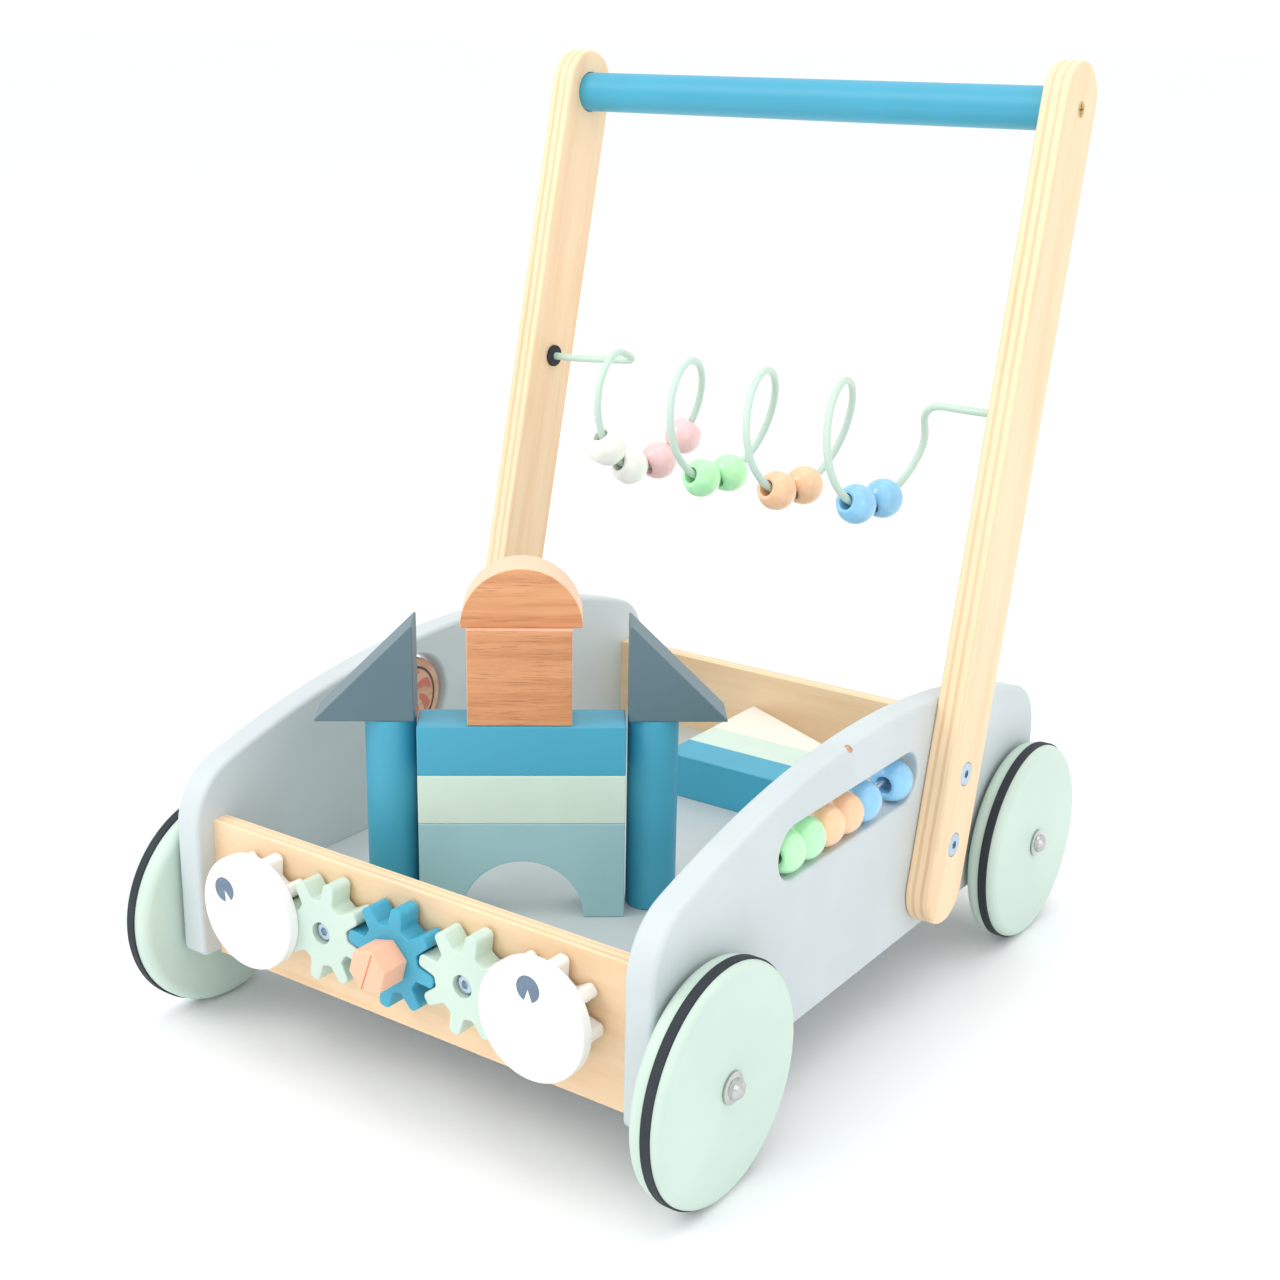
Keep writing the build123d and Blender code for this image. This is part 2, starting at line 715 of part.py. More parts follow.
# ---------------------------------------------------------------- write every node
def main():
    os.makedirs("parts", exist_ok=True)
    save("side_panel_right", make_side_right())
    save("side_panel_left", make_side_left())
    save("front_panel", make_cross_panel(front_face, front_base, front_top, gear_holes=True))
    save("back_panel", make_cross_panel(back_inner, side_base, back_top))
    save("floor_panel", make_floor())
    panel_screws = [wood_screw(side_outer, y, z, screw_length - 1)
                    for y in (front_face + ply_thickness / 2, back_inner + ply_thickness / 2)
                    for z in screw_heights]
    save("panel_screws", *[s for screw in panel_screws for s in both_sides(screw)])

    for name, post in zip(("handle_post_right", "handle_post_left"), both_sides(make_post())):
        save(name, post)
    save("handle_bar", make_bar())
    save("handle_screws", *both_sides(wood_screw(post_outer, bar_y, bar_z, screw_length)))
    save("post_bolts", *[s for a in post_bolts_along for s in both_sides(make_post_bolt(a))])
    save("post_nuts", *[s for a in post_bolts_along for s in both_sides(make_sleeve_nut(a))])

    axle_places = {"front": front_axle, "rear": rear_axle}
    for end, y in axle_places.items():
        for side, wheel, band in zip(("right", "left"), both_sides(make_wheel(y)), both_sides(make_ring(y))):
            save(f"wheel_{end}_{side}", wheel)
            save(f"tyre_ring_{end}_{side}", band)
    save("axles", *[make_axle(y) for y in axle_places.values()])
    save("axle_caps", *[s for y in axle_places.values() for s in both_sides(make_cap(y))])
    save("wheel_spacers", *[s for y in axle_places.values() for s in both_sides(make_spacer(y))])

    gear_names = ("gear_eye_left", "gear_mint_left", "gear_blue", "gear_mint_right", "gear_eye_right")
    for step, name in enumerate(gear_names):
        save(name, make_gear(step))
    save("gear_pins", *[make_gear_pin(x) for x in gear_places])
    save("eye_disc_left", make_eye(gear_places[0]))
    save("eye_disc_right", make_eye(gear_places[-1]))
    save("gear_knob", make_knob())

    save("slot_rod", make_slot_rod())
    for number, y in enumerate(slot_bead_places(), start=1):
        save(f"slot_bead_{number}", make_slot_bead(y))
    save("spinner_disc", make_disc())
    save("spinner_rod", make_disc_rod())

    save("bead_wire", make_wire())
    save("wire_grommets", *both_sides(make_grommet()))
    apart = 2 * atan(bead_half_length / (coil_radius + wire_bead_drop - bead_rim))
    bottoms = {"white": -pi - apart, "pink": -pi + apart,
               "green": pi, "orange": 3 * pi, "blue": 5 * pi}
    for colour, turn in bottoms.items():
        save(f"wire_beads_{colour}", *make_wire_beads(turn))

    for name, solid in make_blocks().items():
        save(name, solid.solid())


main()
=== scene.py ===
"""Wooden baby walker: finishes, small pieces, floor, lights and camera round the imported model."""

import json
import math

import bmesh
import bpy
from mathutils import Matrix, Vector

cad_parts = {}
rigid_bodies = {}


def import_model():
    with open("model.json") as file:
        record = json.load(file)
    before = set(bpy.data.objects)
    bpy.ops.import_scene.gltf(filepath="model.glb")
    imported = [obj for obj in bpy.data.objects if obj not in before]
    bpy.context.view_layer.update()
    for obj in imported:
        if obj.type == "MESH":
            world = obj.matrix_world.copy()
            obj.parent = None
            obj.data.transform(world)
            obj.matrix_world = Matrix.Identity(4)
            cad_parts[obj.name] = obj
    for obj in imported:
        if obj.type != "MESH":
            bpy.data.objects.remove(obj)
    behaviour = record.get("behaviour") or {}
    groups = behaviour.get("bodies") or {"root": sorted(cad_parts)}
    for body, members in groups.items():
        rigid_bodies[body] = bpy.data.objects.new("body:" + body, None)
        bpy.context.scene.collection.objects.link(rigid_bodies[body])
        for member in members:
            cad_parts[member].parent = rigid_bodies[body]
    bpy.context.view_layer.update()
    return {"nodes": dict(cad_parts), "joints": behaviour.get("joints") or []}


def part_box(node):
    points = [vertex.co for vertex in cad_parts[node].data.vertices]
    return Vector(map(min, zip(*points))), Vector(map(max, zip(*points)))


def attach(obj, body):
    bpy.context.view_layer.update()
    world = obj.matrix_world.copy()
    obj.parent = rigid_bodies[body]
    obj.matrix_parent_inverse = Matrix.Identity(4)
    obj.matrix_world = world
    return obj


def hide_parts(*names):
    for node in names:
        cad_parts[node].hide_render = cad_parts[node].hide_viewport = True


bl_info = {
    "name": "Baby walker",
    "version": (1, 0, 0),
    "blender": (4, 5, 0),
    "location": "View3D > Sidebar > Walker",
    "description": "Finishes and small pieces of a wooden push-along walker",
    "category": "Object",
}

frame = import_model()
NODES = frame["nodes"]
JOINTS = {joint["name"]: joint for joint in frame["joints"]}
BODY = "walker_body"

# How the walker's pieces stand, in degrees
CASTLE_TURN = 37.2
POST_LEAN = 13.34
SAWN_FACE = (math.sin(math.radians(CASTLE_TURN)), -math.cos(math.radians(CASTLE_TURN)), 0.0)

# Grain: how often a pattern repeats per metre along and across the fibres
LONG_FIBRE = 14.0
PANEL_FIBRE = 12.0
CROSS_FIBRE = 420.0
GRAIN_X = (LONG_FIBRE, CROSS_FIBRE, CROSS_FIBRE)
GRAIN_Z = (CROSS_FIBRE, CROSS_FIBRE, LONG_FIBRE)
GRAIN_PANEL = (CROSS_FIBRE, PANEL_FIBRE, CROSS_FIBRE)
GRAIN_BAR = (PANEL_FIBRE, CROSS_FIBRE, CROSS_FIBRE)
GRAIN_NONE = (60.0, 60.0, 60.0)
PLYWOOD_FIGURE, PLYWOOD_FIBRES, PLYWOOD_KNOTS = (5.0, 60.0), (9.0, 620.0), (110.0, 260.0)
HARDWOOD_WARP = (10.0, 22.0, 30.0)
HARDWOOD_BANDS = (7.0, 50.0, 150.0)
HARDWOOD_PORES = (70.0, 1500.0, 2900.0)
HARDWOOD_DENSITY = (16.0, 60.0, 90.0)
HARDWOOD_FIBRES = (40.0, 1200.0, 1700.0)
METAL_SCRATCHES = (90.0, 2600.0, 1500.0)
SCRATCH_TURN = 30.0

# Refractive index of the lacquer, and of varnish, oil and gloss
LACQUER_IOR, VARNISH_IOR = 1.46, 1.5

# Thickness of one ply in the boards and in the posts, in metres
BOARD_PLY = 0.0021
POST_PLY = 0.0024

# How much of the mint shows on the wheels and on the gears
WHEEL_MINT = 0.90
GEAR_MINT = 0.92

# Points round each printed circle
CIRCLE_POINTS = 72

# The pupils: across and up from the disc's middle in metres, and the notch's angle in degrees
PUPILS = {"left": ((-0.0135, 0.009), -65.0), "right": ((-0.0005, 0.0157), -90.0)}
NOTCH_HALF_ANGLE = 22.0

# The bead's mesh, and how many of its rings the flat ends take away
BEAD_SEGMENTS = 48
BEAD_RINGS = 32
RINGS_CUT = 6
NEAR = 2e-5
SAME = 1e-6

# The disc's print, as distances from its middle in metres
SWIRL_INNER, SWIRL_OUTER = 0.005, 0.0145
RIM_INNER, RIM_OUTER = 0.0165, 0.0178
SWIRL_ARM, SWIRL_STEP = 30, 60
SWIRL_TWIST = 0.9
PRINT_RINGS = 12

# The tack: in from the panel's face, back from its front end and down from its top, in metres
TACK_IN, TACK_BACK, TACK_DOWN = 0.0012, 0.161, 0.0022
TACK_DIRECTION = (0.6, 0.0, 0.8)
TACK_FLATTEN = 0.6

# The stage, in metres, watts and degrees
FLOOR_SIZE = 400.0
WORLD_STRENGTH = 1.05
AIM = (0.0, 0.0, 0.2)
LIGHTS = (
    ("key", (-1.3, -1.9, 2.3), 1.6, 26.0),
    ("top", (0.2, 0.4, 2.6), 2.4, 14.0),
    ("fill", (2.2, -0.8, 1.1), 1.6, 5.0),
)
CAMERA_PLACE = (0.5238, -0.7561, 0.4810)
CAMERA_TARGET = (-0.0019, 0.0030, 0.1826)
CAMERA_ROLL = 0.97
LENS, SENSOR = 52.25, 36.0


# ---------------------------------------------------------------- colours and shader nodes
def shade(red, green, blue):
    """A screen colour, 0 to 255 in each channel, as linear light."""
    linear = []
    for channel in (red, green, blue):
        part = channel / 255
        linear.append(part / 12.92 if part <= 0.04045 else ((part + 0.055) / 1.055) ** 2.4)
    return tuple(linear)


def scaled(colour, factor):
    """A colour made lighter or darker."""
    return tuple(min(1.0, channel * factor) for channel in colour[:3])


class Value:
    """A shader socket. Arithmetic on it adds Math nodes."""

    def __init__(self, finish, socket):
        self.finish = finish
        self.socket = socket

    def math(self, operation, *values):
        return self.finish.node("ShaderNodeMath", {"operation": operation}, dict(enumerate(values)))

    def __add__(self, other):
        return self.math("ADD", self, other)

    def __radd__(self, other):
        return self.math("ADD", other, self)

    def __sub__(self, other):
        return self.math("SUBTRACT", self, other)

    def __rsub__(self, other):
        return self.math("SUBTRACT", other, self)

    def __mul__(self, other):
        return self.math("MULTIPLY", self, other)

    def __rmul__(self, other):
        return self.math("MULTIPLY", other, self)

    def __truediv__(self, other):
        return self.math("DIVIDE", self, other)

    def __abs__(self):
        return self.math("ABSOLUTE", self)

    def between(self, low, high):
        """0 below low, 1 above high, and a smooth step between."""
        return self.finish.node("ShaderNodeMapRange", {"interpolation_type": "SMOOTHSTEP"},
                                {"Value": self, "From Min": low, "From Max": high})


class Finish:
    """A material that is built node by node on object coordinates."""

    def __init__(self, name):
        self.material = bpy.data.materials.new(name)
        self.material.use_nodes = True
        self.tree = self.material.node_tree
        self.surface = self.tree.nodes["Principled BSDF"]
        self.place = self.node("ShaderNodeTexCoord", output="Object")
        self.facing = self.node("ShaderNodeTexCoord", output="Normal")

    def node(self, kind, settings=None, inputs=None, output=0):
        """Add a node, set it, fill its inputs and return one of its outputs."""
        node = self.tree.nodes.new(kind)
        for key, value in (settings or {}).items():
            setattr(node, key, value)
        for key, value in (inputs or {}).items():
            self.fill(node.inputs[key], value)
        return Value(self, node.outputs[output])

    def fill(self, socket, value):
        if isinstance(value, Value):
            self.tree.links.new(value.socket, socket)
        elif isinstance(value, tuple) and len(value) == 3 and socket.type == "RGBA":
            socket.default_value = (*value, 1.0)
        else:
            socket.default_value = value

    def axis(self, vector, name):
        """One component of a vector."""
        return self.node("ShaderNodeSeparateXYZ", None, {0: vector}, output=name)

    def scaled(self, vector, stretch):
        """A vector scaled along each axis."""
        return self.node("ShaderNodeMapping", {"vector_type": "POINT"}, {"Vector": vector, "Scale": stretch})

    def turned(self, vector, turn, stretch):
        """A vector turned about Z, then scaled along each axis."""
        upright = self.node("ShaderNodeMapping", {"vector_type": "POINT"},
                            {"Vector": vector, "Rotation": (0.0, 0.0, math.radians(turn))})
        return self.scaled(upright, stretch)

    def noise(self, vector, scale=1.0, detail=3.0, roughness=0.5):
        """A smooth random value, its scale in repeats per metre of the vector."""
        return self.node("ShaderNodeTexNoise", None,
                         {"Vector": vector, "Scale": scale, "Detail": detail, "Roughness": roughness})

    def blend(self, factor, first, second):
        """The first colour where factor is 0 and the second where it is 1."""
        return self.node("ShaderNodeMix", {"data_type": "RGBA"}, {0: factor, 6: first, 7: second}, output=2)

    def bump(self, height, depth, strength=1.0):
        """A relief on the surface, its depth in metres."""
        self.fill(self.surface.inputs["Normal"], self.node(
            "ShaderNodeBump", None, {"Height": height, "Distance": depth, "Strength": strength}))

    def set(self, **values):
        """Set inputs of the surface, named with underscores for spaces."""
        for key, value in values.items():
            self.fill(self.surface.inputs[key.replace("_", " ")], value)
        return self


# ---------------------------------------------------------------- finishes
def lacquer(name, colour, turn=0.0, grain=GRAIN_X, gloss=0.42, relief=0.00006):
    """Satin lacquer on wood: a soft mottle, the ghost of the grain and a fine spray texture."""
    finish = Finish(name)
    cloud = finish.noise(finish.place, scale=17.0, detail=2.0)
    fibres = finish.noise(finish.turned(finish.place, turn, grain), detail=4.0, roughness=0.6)
    peel = finish.noise(finish.place, scale=1400.0, detail=1.0)
    tone = finish.blend(cloud.between(0.35, 0.65), scaled(colour, 0.965), scaled(colour, 1.02))
    tone = finish.blend(fibres.between(0.62, 0.78) * 0.10, tone, scaled(colour, 0.80))
    finish.set(Base_Color=tone, Roughness=gloss + (cloud - 0.5) * 0.14 + (peel - 0.5) * 0.10, IOR=LACQUER_IOR)
    finish.bump(fibres * 0.6 + peel * 0.4, relief)
    return finish.material


def veneer(name, pale, deep, along, thickness_axis, middle, ply_pitch, lean=0.0):
    """Varnished birch plywood: grain along one axis, turned by a lean about X, and layers on its edges."""
    finish = Finish(name)
    where = finish.node("ShaderNodeMapping", {"vector_type": "POINT"},
                        {"Vector": finish.place, "Rotation": (lean, 0.0, 0.0)})
    figure_scale, fibre_scale, knot_scale = (
        tuple(fibre if axis == along else cross for axis in "XYZ")
        for fibre, cross in (PLYWOOD_FIGURE, PLYWOOD_FIBRES, PLYWOOD_KNOTS))
    warp = finish.noise(where, scale=9.0, detail=2.0)
    figure = finish.noise(finish.scaled(where, figure_scale), detail=5.0, roughness=0.62)
    fine = finish.noise(finish.scaled(where, fibre_scale), detail=3.0, roughness=0.6)
    tone = finish.blend(figure.between(0.36, 0.72) * 0.8, pale, deep)
    tone = finish.blend(fine.between(0.55, 0.75) * 0.16, tone, scaled(deep, 0.74))
    tone = finish.blend(warp.between(0.3, 0.7) * 0.16, tone, scaled(pale, 1.06))
    wobble = (finish.noise(finish.place, scale=60.0, detail=2.0) - 0.5) * 0.35
    depth = (finish.axis(finish.place, thickness_axis) - middle) / ply_pitch + wobble
    layer = depth.math("PINGPONG", depth, 1.0)
    edge = 1.0 - abs(finish.axis(finish.facing, thickness_axis)).between(0.55, 0.85)
    ply = layer.between(0.52, 0.72)
    tone = finish.blend(edge * ply * 0.26, tone, scaled(deep, 0.70))
    tone = finish.blend(edge * (1.0 - ply) * 0.60, tone, scaled(pale, 1.10))
    knot = finish.noise(finish.scaled(where, knot_scale), detail=1.0)
    tone = finish.blend(knot.between(0.80, 0.86) * (1.0 - edge) * 0.5, tone, scaled(deep, 0.45))
    finish.set(Base_Color=tone, Roughness=0.40 + (fine - 0.5) * 0.18, IOR=VARNISH_IOR)
    finish.bump(fine * 0.6 + edge * ply * -0.5, 0.00006)
    return finish.material


def hardwood(name, pale, deep, turn, rim=None):
    """Oiled hardwood: soft bands of figure with fine dark pores, and a paler rim off the sawn faces."""
    finish = Finish(name)
    warp = finish.noise(finish.turned(finish.place, turn, HARDWOOD_WARP), detail=2.0)
    band = finish.noise(finish.turned(finish.place, turn, HARDWOOD_BANDS), detail=4.0, roughness=0.6)
    pores = finish.noise(finish.turned(finish.place, turn, HARDWOOD_PORES), detail=2.0)
    dense = finish.noise(finish.turned(finish.place, turn, HARDWOOD_DENSITY), detail=2.0)
    fine = finish.noise(finish.turned(finish.place, turn, HARDWOOD_FIBRES), detail=2.0)
    tone = finish.blend(band.between(0.32, 0.70), pale, deep)
    tone = finish.blend(warp.between(0.35, 0.75) * 0.28, tone, scaled(deep, 0.88))
    tone = finish.blend(fine.between(0.45, 0.7) * 0.22, tone, scaled(pale, 1.06))
    pore = pores.between(0.58, 0.68) * dense.between(0.36, 0.62)
    tone = finish.blend(pore * 0.45, tone, scaled(deep, 0.46))
    if rim is not None:
        sawn = finish.node("ShaderNodeVectorMath", {"operation": "DOT_PRODUCT"},
                           {0: finish.facing, 1: SAWN_FACE}, output="Value")
        tone = finish.blend((1.0 - abs(sawn).between(0.55, 0.80)) * 0.8, tone, rim)
    finish.set(Base_Color=tone, Roughness=0.5 + (fine - 0.5) * 0.2, IOR=VARNISH_IOR)
    finish.bump(fine * 0.4 - pore, 0.00008)
    return finish.material


def bead_gloss(name, colour):
    """Thick glossy lacquer with a faint ripple."""
    finish = Finish(name)
    cloud = finish.noise(finish.place, scale=70.0, detail=2.0)
    ripple = finish.noise(finish.place, scale=260.0, detail=1.0)
    tone = finish.blend(cloud.between(0.3, 0.7), scaled(colour, 0.95), scaled(colour, 1.03))
    finish.set(Base_Color=tone, Roughness=0.16 + (ripple - 0.5) * 0.08, IOR=VARNISH_IOR,
               Coat_Weight=0.8, Coat_Roughness=0.04)
    finish.bump(ripple, 0.00004)
    return finish.material


def rubber(name, colour):
    """Matt rubber with moulding speckle and a dusty bloom."""
    finish = Finish(name)
    speckle = finish.noise(finish.place, scale=900.0, detail=3.0, roughness=0.6)
    bloom = finish.noise(finish.place, scale=45.0, detail=3.0)
    tone = finish.blend(speckle.between(0.45, 0.75) * 0.4, colour, scaled(colour, 2.2))
    tone = finish.blend(bloom.between(0.5, 0.8) * 0.25, tone, scaled(colour, 3.0))
    finish.set(Base_Color=tone, Roughness=0.72 + (speckle - 0.5) * 0.2)
    finish.bump(speckle, 0.00012)
    return finish.material


def metal(name, colour, rough, wear=0.25):
    """Plated metal with fine random scratches and cloudy plating."""
    finish = Finish(name)
    scratch = finish.noise(finish.turned(finish.place, SCRATCH_TURN, METAL_SCRATCHES), detail=2.0)
    cloud = finish.noise(finish.place, scale=320.0, detail=2.0)
    tone = finish.blend(cloud.between(0.4, 0.7) * wear, colour, scaled(colour, 0.7))
    finish.set(Base_Color=tone, Metallic=1.0, Roughness=rough + (scratch - 0.5) * 0.16)
    finish.bump(scratch, 0.00002)
    return finish.material


def printed(name, colour):
    """Screen-printed ink with a fine mesh texture."""
    finish = Finish(name)
    grain = finish.noise(finish.place, scale=1500.0, detail=2.0)
    cloud = finish.noise(finish.place, scale=240.0, detail=2.0)
    tone = finish.blend(cloud.between(0.35, 0.7), scaled(colour, 0.93), scaled(colour, 1.05))
    finish.set(Base_Color=tone, Roughness=0.46 + (grain - 0.5) * 0.2)
    finish.bump(grain, 0.00003)
    return finish.material


# ---------------------------------------------------------------- modelling helpers
def only(piece):
    """Select one piece and nothing else."""
    if bpy.context.mode != "OBJECT":
        bpy.ops.object.mode_set(mode="OBJECT")
    for other in bpy.context.scene.objects:
        other.select_set(False)
    piece.select_set(True)
    bpy.context.view_layer.objects.active = piece


def primitive(name, add, **settings):
    """Add a primitive with nothing else selected."""
    if bpy.context.mode != "OBJECT":
        bpy.ops.object.mode_set(mode="OBJECT")
    for other in bpy.context.scene.objects:
        other.select_set(False)
    add(**settings)
    piece = bpy.context.active_object
    piece.name = name
    piece.data.name = name
    return piece


class Editing:
    """Edit mode on one piece, with helpers that select by place."""

    def __init__(self, piece, kind="FACE"):
        self.piece = piece
        self.kind = kind

    def __enter__(self):
        only(self.piece)
        bpy.ops.object.mode_set(mode="EDIT")
        bpy.ops.mesh.select_mode(type=self.kind)
        return self

    def __exit__(self, *error):
        bpy.ops.object.mode_set(mode="OBJECT")

    def pick(self, test, kind=None):
        """Select the faces, edges or vertices that pass a test, and only those."""
        kind = kind or self.kind
        bpy.ops.mesh.select_mode(type=kind)
        bpy.ops.mesh.select_all(action="DESELECT")
        mesh = bmesh.from_edit_mesh(self.piece.data)
        group = {"FACE": mesh.faces, "EDGE": mesh.edges, "VERT": mesh.verts}[kind]
        for element in group:
            element.select_set(bool(test(element)))
        mesh.select_flush_mode()
        bmesh.update_edit_mesh(self.piece.data)


def angle_of(face):
    """The angle about Z, in degrees, at which a face's middle lies."""
    middle = face.calc_center_median()
    return math.degrees(math.atan2(middle.y, middle.x))


def settle(piece, matrix=None):
    """Put a piece's place into its mesh."""
    only(piece)
    bpy.ops.object.transform_apply(location=True, rotation=True, scale=True)
    if matrix is not None:
        piece.data.transform(matrix)
    return piece


def smooth(piece, angle=40.0):
    only(piece)
    bpy.ops.object.shade_smooth_by_angle(angle=math.radians(angle))


def finish_piece(piece, material, body, slot, *replaced):
    """Give a piece its material and its body, and hide the nodes it stands for."""
    piece.data.materials.clear()
    piece.data.materials.append(material)
    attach(piece, body)
    if replaced:
        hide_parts(*replaced)
    return piece


def copy_of(piece, name, matrix):
    """A copy with its own mesh, moved by a matrix."""
    mesh = piece.data.copy()
    mesh.name = name
    mesh.transform(matrix)
    twin = bpy.data.objects.new(name, mesh)
    bpy.context.scene.collection.objects.link(twin)
    return twin


def remove(piece):
    bpy.data.objects.remove(piece)


def paint(material, *names):
    """Give a material to CAD nodes."""
    for name in names:
        slots = NODES[name].data.materials
        slots.clear()
        slots.append(material)


def centre_of(name):
    low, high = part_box(name)
    return (low + high) / 2


def centre_of_half(name, direction):
    """The middle of the part of a node that lies towards a direction from the node's middle."""
    piece = NODES[name]
    middle = centre_of(name)
    corners = [piece.matrix_world @ v.co for v in piece.data.vertices]
    half = [c for c in corners if (c - middle).dot(direction) > 0]
    return Vector([(min(c[n] for c in half) + max(c[n] for c in half)) / 2 for n in range(3)])


def placed(centre, along, up_hint=(0.0, 0.0, 1.0)):
    """A matrix that puts local Z along a direction, at a point."""
    direction = Vector(along).normalized()
    hint = Vector(up_hint)
    if abs(direction.dot(hint)) > 0.95:
        hint = Vector((1.0, 0.0, 0.0))
    side = hint.cross(direction).normalized()
    up = direction.cross(side)
    turn = Matrix((side, up, direction)).transposed().to_4x4()
    return Matrix.Translation(Vector(centre)) @ turn


# ---------------------------------------------------------------- settings
def tint(name, description, colour):
    return bpy.props.FloatVectorProperty(name=name, description=description, subtype="COLOR",
                                         size=3, min=0.0, max=1.0, default=colour)


def length(name, description, millimetres):
    return bpy.props.FloatProperty(name=name, description=description, unit="LENGTH", subtype="DISTANCE",
                                   min=0.0, default=millimetres / 1000)


class WalkerColours(bpy.types.PropertyGroup):
    """Colours of the lacquers, wood and ink."""
    panel: tint("Side panels", "Pale grey lacquer of the side panels", shade(201, 210, 212))
    tray: tint("Tray floor", "Pale lacquer of the tray floor", shade(199, 207, 208))
    mint: tint("Mint", "Mint lacquer of the wheels, gears and planks", shade(210, 231, 218))
    blue: tint("Blue", "Blue lacquer of the bar, columns, planks and gear", shade(68, 166, 196))
    slate: tint("Slate", "Slate lacquer of the triangles", shade(90, 116, 126))
    arch: tint("Arch", "Grey-blue lacquer of the arch", shade(160, 202, 210))
    cream: tint("Cream", "Cream lacquer of the wedge", shade(238, 236, 226))
    white: tint("White", "White lacquer of the eyes", shade(246, 247, 246))
    coral: tint("Coral", "Coral lacquer of the knob", shade(250, 190, 158))
    birch_pale: tint("Birch, pale", "Lighter tone of the birch plywood", shade(246, 216, 178))
    birch_deep: tint("Birch, deep", "Deeper tone of the birch plywood", shade(234, 194, 148))
    wood_pale: tint("Hardwood, pale", "Lighter tone of the hardwood blocks", shade(226, 164, 116))
    wood_deep: tint("Hardwood, deep", "Deeper tone of the hardwood blocks", shade(198, 132, 86))
    wood_rim: tint("Hardwood, rim", "Pale rim of the half-round block", shade(250, 212, 184))
    ink: tint("Ink", "Ink of the pupils", shade(104, 124, 146))
    bead_white: tint("White bead", "Lacquer of the white beads", shade(255, 253, 244))
    bead_pink: tint("Pink bead", "Lacquer of the pink beads", shade(255, 208, 210))
    bead_green: tint("Green bead", "Lacquer of the green beads", shade(188, 255, 194))
    bead_orange: tint("Orange bead", "Lacquer of the orange beads", shade(255, 205, 162))
    bead_blue: tint("Blue bead", "Lacquer of the blue beads", shade(140, 204, 244))
    rubber: tint("Rubber", "Black rubber of the tyre rings", shade(34, 42, 48))
    bush: tint("Bush", "Black rubber of the bushes in the posts", shade(34, 38, 44))
    wire: tint("Wire", "Coating of the bead wire", shade(200, 224, 210))
    brass: tint("Yellow plating", "Yellow plating of the bar's screws", shade(214, 184, 120))
    zinc: tint("Zinc", "Zinc plating of the bolts, nuts, screws and gear pins", shade(186, 204, 216))
    steel: tint("Steel", "Bright steel of the axles, washers and rods", shade(205, 207, 210))
    chrome: tint("Chrome", "Chrome plating of the axle caps", shade(196, 196, 194))
    copper: tint("Copper", "Copper of the tack", shade(205, 160, 128))
    disc_pale: tint("Disc, pale", "Lighter tone of the spinning disc", shade(226, 178, 150))
    disc_deep: tint("Disc, deep", "Deeper tone of the spinning disc", shade(206, 154, 124))
    swirl: tint("Swirl", "Ink of the disc's swirl", shade(206, 120, 104))
    rim: tint("Rim", "Ink of the disc's ring", shade(96, 74, 62))


class WalkerSizes(bpy.types.PropertyGroup):
    """Sizes of the small pieces."""
    bead_radius: length("Bead radius", "Radius of every bead", 10.8)
    bead_bore: length("Bead bore", "Radius of the hole through a bead", 4.32)
    bore_rim: length("Bore rim", "Rounding of a bead's flat ends", 0.5)
    pupil_radius: length("Pupil radius", "Radius of the printed pupil", 6.2)
    ink_thickness: length("Ink thickness", "Thickness of the printed layer", 0.15)
    tack_radius: length("Tack radius", "Radius of the tack's head on the right side panel", 2.2)


def colours():
    return bpy.context.scene.walker_colours


def sizes():
    return bpy.context.scene.walker_sizes


def tuple_of(colour):
    return tuple(colour[:3])


# ---------------------------------------------------------------- operators
class WALKER_OT_boards(bpy.types.Operator):
    """Lacquer the side panels and the floor, and varnish the plywood boards and posts"""
    bl_idname = "walker.boards"
    bl_label = "Boards and posts"

    def execute(self, context):
        tones = colours()
        paint(lacquer("panel_lacquer", tuple_of(tones.panel), grain=GRAIN_PANEL, gloss=0.46),
              "side_panel_left", "side_panel_right")
        paint(lacquer("tray_lacquer", tuple_of(tones.tray), grain=GRAIN_PANEL), "floor_panel")
        pale, deep = tuple_of(tones.birch_pale), tuple_of(tones.birch_deep)
        front = centre_of("front_panel").y
        back = centre_of("back_panel").y
        paint(veneer("front_plywood", pale, deep, "X", "Y", front, BOARD_PLY), "front_panel")
        paint(veneer("back_plywood", pale, deep, "X", "Y", back, BOARD_PLY), "back_panel")
        for side in ("left", "right"):
            post = f"handle_post_{side}"
            plywood = veneer(f"post_plywood_{side}", pale, deep, "Z", "X", centre_of(post).x, POST_PLY,
                             lean=math.radians(POST_LEAN))
            paint(plywood, post)
        return {"FINISHED"}


class WALKER_OT_handle(bpy.types.Operator):
    """Lacquer the handle bar and the coiled wire, and plate the handle's fasteners"""
    bl_idname = "walker.handle"
    bl_label = "Handle bar, wire and fasteners"

    def execute(self, context):
        tones = colours()
        paint(lacquer("bar_lacquer", tuple_of(tones.blue), grain=GRAIN_BAR), "handle_bar")
        coating = lacquer("wire_coating", tuple_of(tones.wire), grain=GRAIN_NONE, gloss=0.34)
        paint(coating, "bead_wire")
        paint(rubber("bush_rubber", tuple_of(tones.bush)), "wire_grommets")
        paint(metal("yellow_plating", tuple_of(tones.brass), 0.30), "handle_screws")
        paint(metal("zinc_plating", tuple_of(tones.zinc), 0.34),
              "post_bolts", "post_nuts", "panel_screws", "gear_pins")
        paint(metal("bright_steel", tuple_of(tones.steel), 0.22),
              "axles", "wheel_spacers", "slot_rod", "spinner_rod")
        paint(metal("chrome_plating", tuple_of(tones.chrome), 0.16, 0.12), "axle_caps")
        return {"FINISHED"}


